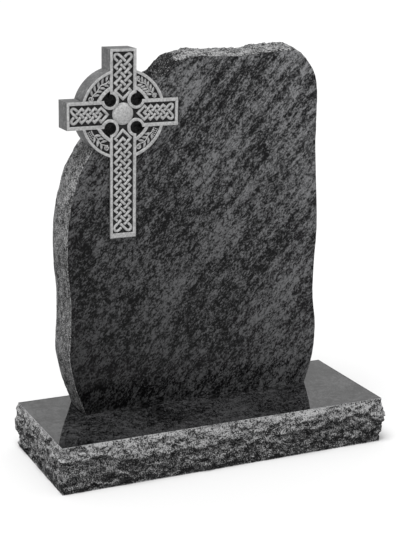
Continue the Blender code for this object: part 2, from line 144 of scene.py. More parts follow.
# Rough sides of the two stones
SWELL_RISE = 9.0
BASE_FLATTEN = 1.7
# Painted shade: how much darker the broken edge is painted towards the bottom of each stone
BASE_PAINTED_SHADE = 0.30
TABLET_PAINTED_SHADE = 0.40
TOP_RELIEF = 1.4
FOOT_BAND = 0.0004
# Painted shade on faces turned down stops at this slope, and the arris gets a painted highlight
DARKEST_SLOPE = -0.35
ARRIS_PAINTED_HIGHLIGHT = 1.05
ARRIS_PULL = 0.6
END_SHARE = 0.001
NOTCH_PLACE = (-0.098, 0.836)
NOTCH_RADIUS = 0.026
NOTCH_DEPTH = 0.0052
IN_PLANE = 1e-5
SAME_PLACE = 1e-4

# Noises of the finishes: the size of a cell, detail, roughness and distortion
PATCHES = (0.110, 3.0)
STREAKS = (0.013, 3.0, 0.6, 0.6)
BLOTCHES = (0.0112, 4.0, 0.72, 0.5)
GRAIN = (0.0027, 2.0, 0.6)
CRYSTALS = (0.0046, 4.0, 0.75, 0.4)
CLOUDS = (0.018, 3.0)
FLECKS = (0.0022, 2.0, 0.6)
FROST = (0.0050, 4.0, 0.65)
FROST_FLECKS = (0.0012, 2.0)
GROUND_MOTTLE = (0.0030, 3.0)
HONED_CRYSTALS = (0.0045, 4.0, 0.65)
HONED_CLOUDS = (0.022, 2.0)

# Grain of the polished stone, and how its contrast falls as the stone grows paler
STREAK_TILT = math.radians(-48)
STREAK_STRETCH = (9.0, 1.0, 1.0)
GRAIN_STRETCH = (1.65, 1.0, 1.0)
CONTRAST_FALL, CONTRAST_START = -0.50, 1.55

# Painted light on broken stone: more contrast where it faces up, and a painted shade round the shoulder that
# was split off
LIVELY_RISE, LIVELY_START = 1.5, -0.20
SHOULDER_PLACE = (-0.104, 0.06, 0.830)
SHOULDER_RADIUS = 0.068
SHOULDER_RAGGED = 0.02
SHOULDER_SHADE = -0.42

# Ramps from a stone's dark to its light: a place on the noise, and the share of the light
POLISHED_SHADES = ((0.20, 0.0), (0.37, 0.12), (0.50, 0.30), (0.66, 0.62), (0.88, 1.0))
ROUGH_SHADES = ((0.22, 0.0), (0.42, 0.22), (0.60, 0.52), (0.88, 1.0))

# Ramps round one colour: a place on the noise, and how far to go to black (below 0) or to white
FROSTED_TONES = ((0.28, -0.38), (0.50, 0.0), (0.74, 0.22))
GROUND_TONES = ((0.35, -0.5), (0.70, 0.03))
HONED_TONES = ((0.30, -0.35), (0.50, 0.0), (0.72, 0.10))

# Borders, ring, hollows and boss of the cross
SHAFT_BORDER = 0.0058
ARM_BORDER = 0.0072
END_BORDER = 0.0056
FOOT_BORDER = 0.0095
RING_RIM = 0.0058
RING_INNER_RADIUS = 0.057
RING_INNER_BAND = 0.007
HOLLOW_RADIUS = 0.0132
HOLLOW_RIM = 0.0060
HOLLOW_DEPTH = 0.014
POCKET_PLAY = 0.0005
BOSS_RADIUS = 0.0235
BOSS_CROWN = 0.0020
BOSS_DROP = 0.0044
BOSS_CORE = 0.68
BOSS_GRID = (48, 24)
OVERRUN = 0.010
QUADRANTS = ((1, 1), (-1, 1), (-1, -1), (1, -1))
RING_SEGMENTS = 128
DRUM_SEGMENTS = 48
CORE_SEGMENTS = 64
OUTER_ARC_SEGMENTS = 20
INNER_ARC_SEGMENTS = 12
WEDGE_SEGMENTS = 10
WORN_EDGE = 0.0006
WORN_ANGLE = math.radians(40)

# Where the cross changes its finish
FACE_BAND = 0.0012
FACES_FRONT = 0.2
FACES_SIDE = 0.35
GROUND_PLAY = 0.0008
WALL_SHARE = 0.75
RIM_PLAY = 0.003
HOLLOW_PLAY = 0.001

# Plait: steps along each panel, its margins, and how a strand dives under another
STRAND_DEPTH = 0.0060
STRAND_OVER = 0.0002
STRAND_UNDER = 0.0050
KNOT_CLEARANCE = 0.0020
SHAFT_KNOT_APEX = 0.0340
TOP_KNOT_APEX = 0.0310
SIDE_KNOT_APEX = 0.0337
SHAFT_KNOT_MARGIN = 0.0058
ARM_KNOT_MARGIN = 0.0074
SHAFT_STEPS = 25
TOP_STEPS = 11
SIDE_STEPS = 11
LOOP_REACH = 0.21
TURN_LEVEL = 0.8
DIVE_END = 0.25
DIVE_START = 0.42
STRAND_CROWN = 0.0016
STRAND_TAPER = 0.92
CROWN_STEPS = 6
CORNER_TURNS = tuple(math.radians(angle) for angle in (270, 240, 210, 180))

# Ornament of the quadrants; a share runs from the side arm (0) to the upright (1)
ARC_START = math.radians(24)
ARC_SPAN = math.pi / 2 - 2 * ARC_START
SPIRAL_SHARES = {(1, 1): (0.05, 0.96), (-1, 1): (0.03,), (-1, -1): (0.92,), (1, -1): (0.95,)}
LEAF_SHARES = {(1, 1): (0.24, 0.80), (-1, 1): (0.24, 0.98), (-1, -1): (0.34, 0.70), (1, -1): (0.34, 0.72)}
STEM_RADIUS = 0.0760
STEM_STEPS = 24
STEM_WAVE = 0.0016
STEM_WAVES = 4
SPIRAL_CENTRE_RADIUS = 0.0785
SPIRAL_RADIUS = 0.0056
SPIRAL_WIDTH = 0.0019
SPIRAL_TURNS = 1.4
SPIRAL_STEPS = 28
SPIRAL_TIGHTNESS = 0.75
SPIRAL_CROWN = 0.0008
ORNAMENT_DROP = 0.0006
LEAF_OFFSET = 0.0058
LEAF_PAIRS = {1: 5, -1: 3}
LEAF_GRID = (14, 8)
LEAF_LENGTH = 0.0160
LEAF_WIDTH = 0.0055
LEAF_RISE = 0.0050
LEAF_LEAN = math.radians(47)
LEAF_POINT = 1.8
LEAF_FULLNESS = 0.75
LEAF_BEND = 0.22
LEAF_BACK, LEAF_BACK_SHARE = 2.2, 0.9
LEAF_TIP = 0.25
LEAF_SINK = 0.0006
GROOVE_DEPTH = 0.28
GROOVE_WIDTH = 0.22
BEAD_GRID = (12, 8)
BEAD_ROWS = 3
BEAD_COUNT = 5
BEAD_PITCH = 0.0042
BEAD_INSET = 0.75
BEAD_START = 0.4
BEAD_RADIUS = 0.0016
BEAD_RISE = 0.0040

# Camera, found from the edges of the base in the photograph
CAMERA_PLACE = (-1.25684, -2.63726, 1.20440)
CAMERA_YAW = 0.4479
CAMERA_PITCH = 0.2668
CAMERA_ROLL = 0.0189
CAMERA_FOCAL_PIXELS = 1389.64
IMAGE_SIZE = (417, 540)
SENSOR = 36.0
CAMERA_REACH = 100.0

# Floor and top light
FLOOR_SIZE = 60.0
TOP_LIGHT_SPREAD = math.radians(35)
TOP_LIGHT_TILT = (math.radians(14), math.radians(-16), 0)


# Helpers for modelling

def select_only(thing):
    if bpy.context.object and bpy.context.object.mode != "OBJECT":
        bpy.ops.object.mode_set(mode="OBJECT")
    bpy.ops.object.select_all(action="DESELECT")
    thing.select_set(True)
    bpy.context.view_layer.objects.active = thing


def apply_place(thing):
    select_only(thing)
    bpy.ops.object.transform_apply(location=True, rotation=True, scale=True)


def apply_modifiers(thing):
    select_only(thing)
    for step in list(thing.modifiers):
        bpy.ops.object.modifier_apply(modifier=step.name)


def recalculate_normals(thing):
    select_only(thing)
    bpy.ops.object.mode_set(mode="EDIT")
    bpy.ops.mesh.select_all(action="SELECT")
    bpy.ops.mesh.remove_doubles(threshold=MERGE)
    bpy.ops.mesh.normals_make_consistent(inside=False)
    bpy.ops.object.mode_set(mode="OBJECT")


def smooth(thing, angle):
    select_only(thing)
    bpy.ops.object.shade_smooth_by_angle(angle=angle)


# A flat face with its corners at the points
def flat_face(name, points):
    bpy.ops.mesh.primitive_circle_add(vertices=len(points), radius=1.0, fill_type="NGON")
    face = bpy.context.object
    face.name = name
    for vertex, point in zip(face.data.vertices, points):
        vertex.co = point
    return face


def join(things, name):
    select_only(things[0])
    for thing in things[1:]:
        thing.select_set(True)
    bpy.ops.object.join()
    joined = bpy.context.object
    joined.name = name
    joined.data.name = name
    return joined


def dress(thing, *finishes):
    for finish in finishes:
        thing.data.materials.append(bpy.data.materials[finish])


def finish_piece(thing, slot, *nodes):
    apply_place(thing)
    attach(thing, BODY)
    if nodes:
        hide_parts(*nodes)


def finish_carving(thing, angle):
    thing.data.materials.clear()
    dress(thing, "frosted_carving")
    smooth(thing, angle)
    finish_piece(thing, TABLET_SLOT)


def boolean(target, tool, operation):
    step = target.modifiers.new(tool.name, "BOOLEAN")
    step.object = tool
    step.operation = operation
    step.solver = "EXACT"
    select_only(target)
    bpy.ops.object.modifier_apply(modifier=step.name)
    bpy.data.objects.remove(tool)


# Helpers for materials

class Shader:
    """A material's node tree with short calls for the nodes that the stones share."""

    def __init__(self, name, roughness, specular):
        self.material = bpy.data.materials.new(name)
        self.material.use_nodes = True
        self.tree = self.material.node_tree
        self.principled = self.tree.nodes["Principled BSDF"]
        self.principled.inputs["Roughness"].default_value = roughness
        self.principled.inputs["Specular IOR Level"].default_value = specular
        self.coords = self.tree.nodes.new("ShaderNodeTexCoord").outputs["Object"]

    # A new node with its choices made, and each input linked to another node or set to a value
    def node(self, kind, inputs, **choices):
        node = self.tree.nodes.new("ShaderNode" + kind)
        for name, choice in choices.items():
            setattr(node, name, choice)
        for name, value in inputs.items():
            if isinstance(value, bpy.types.NodeSocket):
                self.tree.links.new(value, node.inputs[name])
            else:
                node.inputs[name].default_value = value
        return node

    def turned(self, rotation, stretch):
        inputs = {"Vector": self.coords, "Rotation": rotation, "Scale": stretch}
        return self.node("Mapping", inputs, vector_type="TEXTURE").outputs["Vector"]

    def noise(self, vector, cell, detail=4.0, roughness=0.55, distortion=0.0):
        inputs = {"Vector": vector, "Scale": 1 / cell, "Detail": detail,
                  "Roughness": roughness, "Distortion": distortion}
        return self.node("TexNoise", inputs).outputs["Fac"]

    # A value that grows steadily along a direction, from its start at the origin
    def along(self, slope, start):
        product = self.node("VectorMath", {0: self.coords, 1: slope}, operation="DOT_PRODUCT")
        return self.maths("ADD", product.outputs["Value"], start)

    def scaled(self, colour, share):
        return self.node("VectorMath", {0: colour, "Scale": share}, operation="SCALE").outputs["Vector"]

    def attribute(self, name):
        return self.node("Attribute", {}, attribute_name=name).outputs["Fac"]

    # 1 near a place and 0 past its radius, with a broken edge
    def near(self, place, radius, ragged):
        distance = self.node("VectorMath", {0: self.coords, 1: place}, operation="DISTANCE")
        wander = self.maths("SUBTRACT", self.noise(self.coords, ragged), 0.5)
        reach = self.maths("ADD", distance.outputs["Value"], self.maths("MULTIPLY", wander, radius))
        return self.maths("LESS_THAN", reach, radius)

    def maths(self, operation, first, second):
        return self.node("Math", {0: first, 1: second}, operation=operation).outputs["Value"]

    def straight(self, source, slope, start):
        return self.maths("ADD", self.maths("MULTIPLY", source, slope), start)

    # Noises added up by weight, round the middle of their range
    def weighted(self, parts):
        total = 0.5
        for source, weight in parts:
            term = self.maths("MULTIPLY", self.maths("SUBTRACT", source, 0.5), weight)
            total = self.maths("ADD", term, total)
        return total

    def ramp(self, factor, stops):
        node = self.node("ValToRGB", {"Fac": factor})
        elements = node.color_ramp.elements
        while len(elements) < len(stops):
            elements.new(0.5)
        for element, (place, colour) in zip(elements, stops):
            element.position = place
            element.color = (*colour, 1.0)
        return node.outputs["Color"]

    def bump(self, height, strength, distance):
        bump = self.node("Bump", {"Strength": strength, "Distance": distance, "Height": height})
        self.tree.links.new(bump.outputs["Normal"], self.principled.inputs["Normal"])

    def colour(self, source):
        self.tree.links.new(source, self.principled.inputs["Base Color"])


def blend(first, second, share):
    return tuple(a + (b - a) * share for a, b in zip(first, second))


def shades(dark, light, stops):
    return [(place, blend(dark, light, share)) for place, share in stops]


def tones(colour, stops):
    black, white = (0, 0, 0), (1, 1, 1)
    return [(place, blend(colour, black if share < 0 else white, abs(share))) for place, share in stops]


# Dark polished granite: soft streaks that rise to the right, strongest where the stone is palest
def polished_granite(settings, name, roughness, specular, lift, start, contrast):
    shader = Shader(name, roughness, specular)
    streaked = shader.turned((0, STREAK_TILT, 0), STREAK_STRETCH)
    grained = shader.turned((0, STREAK_TILT, 0), GRAIN_STRETCH)
    gain = shader.along(lift, start)
    patches = shader.noise(grained, *PATCHES)
    streaks = shader.maths("SUBTRACT", shader.noise(streaked, *STREAKS), 0.5)
    streaks = shader.straight(streaks, gain, 0.5)
    blotches = shader.noise(grained, *BLOTCHES)
    grain = shader.noise(grained, *GRAIN)
    mottle = shader.weighted([
        (patches, 0.55 * contrast), (streaks, 0.85 * contrast),
        (blotches, 1.05 * contrast), (grain, 1.15 * contrast)])
    steadied = shader.straight(gain, CONTRAST_FALL, CONTRAST_START)
    mottle = shader.straight(shader.maths("SUBTRACT", mottle, 0.5), steadied, 0.5)
    stone = shader.ramp(mottle, shades(settings.polished_dark, settings.polished_light, POLISHED_SHADES))
    shader.colour(shader.scaled(stone, gain))


# Broken granite: pale crystals with dark mica between them, with painted light and shade: lighter and
# livelier where it faces up and lies high, and a painted shade round the split-off shoulder
def pitched_granite(settings, name, contrast, tone, painted_shading, shade_shoulder):
    shader = Shader(name, 0.8, 0.07)
    crystals = shader.noise(shader.coords, *CRYSTALS)
    clouds = shader.noise(shader.coords, *CLOUDS)
    flecks = shader.noise(shader.coords, *FLECKS)
    light_and_shade = shader.attribute("light_and_shade")
    # Painted light: the crystals show more contrast where the stone faces up and lies high
    liveliness = shader.straight(light_and_shade, LIVELY_RISE, LIVELY_START)
    lively = shader.straight(shader.maths("SUBTRACT", crystals, 0.5), liveliness, 0.5)
    grain = shader.weighted([
        # Painted light and shade: lighter facing up and high, darker facing down and low
        (lively, 2.0 * contrast), (clouds, 0.9 * contrast), (flecks, 1.9 * contrast), (light_and_shade, painted_shading)])
    grain = shader.maths("ADD", grain, tone)
    # Painted shade round the split-off shoulder
    if shade_shoulder:
        shoulder = shader.near(SHOULDER_PLACE, SHOULDER_RADIUS, SHOULDER_RAGGED)
        grain = shader.maths("ADD", grain, shader.maths("MULTIPLY", shoulder, SHOULDER_SHADE))
    shader.colour(shader.ramp(grain, shades(settings.rough_dark, settings.rough_light, ROUGH_SHADES)))
    shader.bump(shader.weighted([(crystals, 1.0), (flecks, 0.8)]), 1.0, 0.0030)


def frosted_stone(settings):
    shader = Shader("frosted_carving", 0.85, 0.3)
    mottle = shader.noise(shader.coords, *FROST)
    flecks = shader.noise(shader.coords, *FROST_FLECKS)
    tone = shader.weighted([(mottle, 1.0), (flecks, 0.6)])
    shader.colour(shader.ramp(tone, tones(settings.frosted, FROSTED_TONES)))
    shader.bump(flecks, 0.35, 0.0006)


def sunk_ground(settings):
    shader = Shader("sunk_ground", 0.6, 0.12)
    mottle = shader.noise(shader.coords, *GROUND_MOTTLE)
    shader.colour(shader.ramp(mottle, tones(settings.ground, GROUND_TONES)))
    shader.bump(mottle, 0.5, 0.0008)


def honed_granite(settings):
    shader = Shader("honed_sides", 0.6, 0.35)
    crystals = shader.noise(shader.coords, *HONED_CRYSTALS)
    clouds = shader.noise(shader.coords, *HONED_CLOUDS)
    tone = shader.weighted([(crystals, 1.0), (clouds, 0.5)])
    shader.colour(shader.ramp(tone, tones(settings.honed, HONED_TONES)))
    shader.bump(crystals, 0.25, 0.0006)


# The two stones with rough edges

# The outline of a node where its points lie in one plane, in order round its middle
def node_outline(node, axis, level, across):
    places = set()
    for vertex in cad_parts[node].data.vertices:
        if abs(vertex.co[axis] - level) < IN_PLANE:
            places.add(tuple(round(vertex.co[k], 6) for k in across))
    middle = [(min(p[k] for p in places) + max(p[k] for p in places)) / 2 for k in (0, 1)]
    ordered = sorted(places, key=lambda p: math.atan2(p[1] - middle[1], p[0] - middle[0]))
    kept = []
    for place in ordered:
        if not kept or math.dist(place, kept[-1]) > SAME_PLACE:
            kept.append(place)
    return kept


# A closed outline walked in equal steps that keep its corners sharp
def even_steps(outline, step):
    points = []
    for a, b in zip(outline, outline[1:] + outline[:1]):
        pieces = max(1, round(math.dist(a, b) / step))
        for k in range(pieces):
            points.append(tuple(p + (q - p) * k / pieces for p, q in zip(a, b)))
    return points


# The shoulder beside the cross has lost a flake, so the outline is drawn in there
def notched(place):
    share = math.exp(-(math.dist(place, NOTCH_PLACE) / NOTCH_RADIUS) ** 2)
    return place[0] + NOTCH_DEPTH * share, place[1] - NOTCH_DEPTH * share


# A slope that wanders from cell to cell, and is the same on every run
def wandering(place):
    return Vector([noise.noise(place + Vector(shift)) for shift in WANDER_SHIFTS])


# Flat facets as a hammer leaves them: each cell has its own height and tilt, and the lowest plane shows
def facets(place, cell, step, tilt):
    planes = []
    for spot in noise.voronoi(place / cell)[1][:3]:
        height = step * noise.noise(spot * HEIGHT_SPREAD)
        slope = wandering(spot * SLOPE_SPREAD) * tilt
        planes.append(height + slope.dot(place - spot * cell))
    return min(planes)


# How far broken stone stands out at a place: long waves, two sizes of facet and fine chips
def broken_stone(place, relief, flatten):
    spread = Vector((place.x, place.y, place.z * flatten))
    waves = noise.noise(spread / WAVE_CELL)
    large = facets(spread, *LARGE_FACETS)
    small = facets(spread, *SMALL_FACETS)
    chips = noise.fractal(place / CHIP_CELL, 1.0, 2.0, 2)
    total = STAND_OUT + WAVE_SHARE * waves + LARGE_SHARE * large + SMALL_SHARE * small + CHIP_SHARE * chips
    return relief * total


# Ledges on the sides of the base: the stone swells down to a wandering lip and steps back beneath it
def ledges(place, share):
    total = 0.0
    for k, (level, reach, step) in enumerate(LEDGES):
        spot = Vector((place.x, place.y, LEDGE_SHIFT * (k + 1)))
        lip = (level + LONG_LIP_WAVE * noise.noise(spot / LONG_LIP_CELL)
               + SHORT_LIP_WAVE * noise.noise(spot / SHORT_LIP_CELL))
        reach *= min(1.0, max(LEAST_REACH, REACH_LEVEL + REACH_SWING * noise.noise(spot / REACH_CELL)))
        if share < lip:
            total += reach * max(0.0, share / lip) ** LEDGE_SWELL
        else:
            total += reach * max(0.0, 1 - (share - lip) / step)
    return total


# A slab from a flat outline: its face, rings of mesh down its edge, and a flat face behind
def rough_slab(name, points, run, depth, rings, swell_profile, arris):
    slab = flat_face(name, points)
    bpy.ops.object.mode_set(mode="EDIT")
    bpy.ops.mesh.select_all(action="SELECT")
    for _ in range(rings):
        bpy.ops.mesh.extrude_region_move(TRANSFORM_OT_translate={"value": run * (depth / rings)})
    bpy.ops.mesh.select_all(action="SELECT")
    bpy.ops.mesh.normals_make_consistent(inside=False)
    bpy.ops.object.mode_set(mode="OBJECT")
    start = Vector(points[0]).dot(run)
    rim_count = len(slab.data.vertices)
    for polygon in slab.data.polygons:
        polygon.select = len(polygon.vertices) > 4
        polygon.material_index = 0 if polygon.select else 1
    for edge in slab.data.edges:
        edge.select = False
    for vertex in slab.data.vertices:
        vertex.select = False
    bpy.ops.object.mode_set(mode="EDIT")
    bpy.ops.mesh.select_mode(type="FACE")
    bpy.ops.mesh.inset(thickness=arris, depth=0.0, use_even_offset=True)
    bpy.ops.mesh.select_mode(type="VERT")
    bpy.ops.object.mode_set(mode="OBJECT")
    group = slab.vertex_groups.new(name="rough_edge")
    for vertex in slab.data.vertices:
        share = (vertex.co.dot(run) - start) / depth
        group.add([vertex.index], swell_profile(share), "REPLACE")
        if vertex.index < rim_count and not END_SHARE < share < 1 - END_SHARE:
            vertex.co += run * arris * (ARRIS_PULL if share < 0.5 else -ARRIS_PULL)
    return slab


# Pushes the rough edge out by its swell and its breaks, and holds it inside the frame's box
def break_edge(slab, push, low, high, flat_axis):
    weights = slab.vertex_groups["rough_edge"]
    normals = [vertex.normal.copy() for vertex in slab.data.vertices]
    for vertex, normal in zip(slab.data.vertices, normals):
        weight = weights.weight(vertex.index)
        if weight > 0.0:
            outward = normal.copy()
            outward[flat_axis] = 0.0
            vertex.co += outward.normalized() * push(vertex.co, normal, weight)
    for vertex in slab.data.vertices:
        for k in range(3):
            if k != flat_axis:
                vertex.co[k] = min(max(vertex.co[k], low[k]), high[k])
    slab.data.update()


# The polished faces stay flat in the light, while the broken edge is smooth across its small slopes. The
# attribute holds painted light and shade: lighter where a place faces up and lies high, darker where it faces
# down and lies low, and a painted highlight on the arris.
def finish_slab(slab, polished, broken, low, high, shade):
    middle, span = (low + high) / 2, high.z - low.z
    dress(slab, polished, broken)
    smooth(slab, ROUND_ANGLE)
    lit = slab.data.attributes.new("light_and_shade", "FLOAT", "POINT")
    for vertex in slab.data.vertices:
        height = (vertex.co.z - middle.z) / span
        # Painted shade: darker as the place turns down and lies lower
        lit.data[vertex.index].value = 0.5 + 0.5 * max(DARKEST_SLOPE, vertex.normal.z) + height * shade
    rims = set()
    for polygon in slab.data.polygons:
        if len(polygon.vertices) > 4:
            polygon.use_smooth = False
            rims.update(polygon.vertices)
    # Painted highlight on the arris strips beside the polished faces
    for polygon in slab.data.polygons:
        if len(polygon.vertices) == 4 and not rims.isdisjoint(polygon.vertices):
            for index in polygon.vertices:
                lit.data[index].value = ARRIS_PAINTED_HIGHLIGHT


class HEADSTONE_OT_base(bpy.types.Operator):
    """Base stone: polished top, rock-pitched sides"""
    bl_idname = "headstone.base"
    bl_label = "Base stone"

    def execute(self, context):
        settings = context.scene.stone_settings
        top = BASE_HIGH.z
        outline = even_steps(node_outline(BASE_NODE, 2, top, (0, 1)), settings.outline_step)
        points = [(x, y, top) for x, y in outline]
        rings = round((top - BASE_LOW.z) / settings.outline_step)

        def swell(share):
            return min(1.0, max(0.0, share) * SWELL_RISE, max(0.0, 1 - share) * SWELL_RISE)

        base = rough_slab("base_stone", points, Vector((0, 0, -1)), top - BASE_LOW.z, rings, swell,
                          settings.arris)

        def push(place, normal, weight):
            share = (top - place.z) / (top - BASE_LOW.z)
            breaks = broken_stone(place, settings.base_relief, BASE_FLATTEN)
            return weight * (settings.base_bulge * ledges(place, share) + breaks)

        break_edge(base, push, BASE_LOW, BASE_HIGH, 2)
        finish_slab(base, "polished_top", "pitched_side", BASE_LOW, BASE_HIGH, BASE_PAINTED_SHADE)
        finish_piece(base, BASE_SLOT, BASE_NODE)
        return {"FINISHED"}


class HEADSTONE_OT_tablet(bpy.types.Operator):
    """Tablet: polished faces, rough edge all round"""
    bl_idname = "headstone.tablet"
    bl_label = "Tablet"

    def execute(self, context):
        settings = context.scene.stone_settings
        back = STONE_HIGH.y
        front = back - settings.tablet_thickness
        outline = even_steps(node_outline(STONE_NODE, 1, back, (0, 2)), settings.outline_step)
        points = [(x, front, z) for x, z in map(notched, outline)]
        rings = round(settings.tablet_thickness / settings.outline_step)

        def swell(share):
            return math.sin(math.pi * min(max(share, 0.0), 1.0)) ** 0.5

        tablet = rough_slab("tablet", points, Vector((0, 1, 0)), settings.tablet_thickness, rings, swell,
                            settings.arris)
        foot = STONE_LOW.z

        def push(place, normal, weight):
            if place.z < foot + FOOT_BAND:
                return 0.0
            rise = max(0.0, normal.z)
            breaks = broken_stone(place, settings.edge_relief * (1 + TOP_RELIEF * rise), 1.0)
            return weight * (settings.tablet_bulge + settings.top_swell * rise + breaks)

        break_edge(tablet, push, STONE_LOW, STONE_HIGH, 1)
        self.cut_pockets(context.scene.cross_settings, tablet)
        finish_slab(tablet, "polished_face", "pitched_edge", STONE_LOW, STONE_HIGH, TABLET_PAINTED_SHADE)
        finish_piece(tablet, TABLET_SLOT, STONE_NODE)
        return {"FINISHED"}

    # The cross's hollows go on into the tablet, a little wider so that their own walls show
    def cut_pockets(self, settings, tablet):
        deep = (-HOLLOW_DEPTH - POCKET_PLAY, OVERRUN)
        for sign_u, sign_v in QUADRANTS:
            pocket = hollow_tool(settings, sign_u, sign_v, POCKET_PLAY, deep)
            boolean(tablet, pocket, "DIFFERENCE")


# The cross

# Drawn places on the cross's face: u to the right, v up, w out of the face
def on_face(settings, u, v, w):
    front = STONE_LOW.y + BOSS_CROWN
    return Vector((settings.centre_x + u, front - w, STONE_HIGH.z - settings.top_reach + v))


def face_block(settings, name, u_range, v_range, w_range):
    middle = [sum(r) / 2 for r in (u_range, v_range, w_range)]
    bpy.ops.mesh.primitive_cube_add(size=1.0, location=on_face(settings, *middle))
    block = bpy.context.object
    block.name = name
    block.scale = (u_range[1] - u_range[0], w_range[1] - w_range[0], v_range[1] - v_range[0])
    apply_place(block)
    return block


def face_drum(settings, name, radius, u, v, w_range, segments=DRUM_SEGMENTS):
    bpy.ops.mesh.primitive_cylinder_add(
        vertices=segments, radius=radius, depth=w_range[1] - w_range[0],
        location=on_face(settings, u, v, sum(w_range) / 2), rotation=UPRIGHT)
    drum = bpy.context.object
    drum.name = name
    apply_place(drum)
    return drum


def arc(radius, start, end, segments):
    angles = [start + (end - start) * k / segments for k in range(segments + 1)]
    return [(radius * math.cos(a), radius * math.sin(a)) for a in angles]


# A flat outline on the face, extruded between two depths
def face_plate(settings, name, outline, w_range):
    plate = flat_face(name, [on_face(settings, u, v, w_range[0]) for u, v in outline])
    bpy.ops.object.mode_set(mode="EDIT")
    bpy.ops.mesh.select_all(action="SELECT")
    bpy.ops.mesh.extrude_region_move(TRANSFORM_OT_translate={"value": (0, w_range[0] - w_range[1], 0)})
    bpy.ops.object.mode_set(mode="OBJECT")
    recalculate_normals(plate)
    return plate


def quadrant_outline(settings, sign_u, sign_v):
    half = settings.limb / 2
    inner_radius = RING_INNER_RADIUS + RING_INNER_BAND
    outer_radius = settings.ring_radius - RING_RIM
    inner, outer = math.asin(half / inner_radius), math.asin(half / outer_radius)
    points = arc(outer_radius, outer, math.pi / 2 - outer, OUTER_ARC_SEGMENTS)
    points += arc(inner_radius, math.pi / 2 - inner, inner, INNER_ARC_SEGMENTS)
    return [(sign_u * u, sign_v * v) for u, v in points]


# A hollow is a round sinking at the angle of two limbs, run out to a point on each side under the ring
def hollow_tool(settings, sign_u, sign_v, play, depths):
    half = settings.limb / 2
    radius = RING_INNER_RADIUS + play
    inner = math.asin((half - play) / radius)
    rim = arc(radius, inner, math.pi / 2 - inner, WEDGE_SEGMENTS)
    wedge = [(sign_u * u, sign_v * v) for u, v in rim]
    wedge.append((sign_u * (half - play), sign_v * (half - play)))
    tool = face_drum(settings, "hollow", HOLLOW_RADIUS + play, sign_u * half, sign_v * half, depths)
    boolean(tool, face_plate(settings, "hollow_wedge", wedge, depths), "UNION")
    return tool


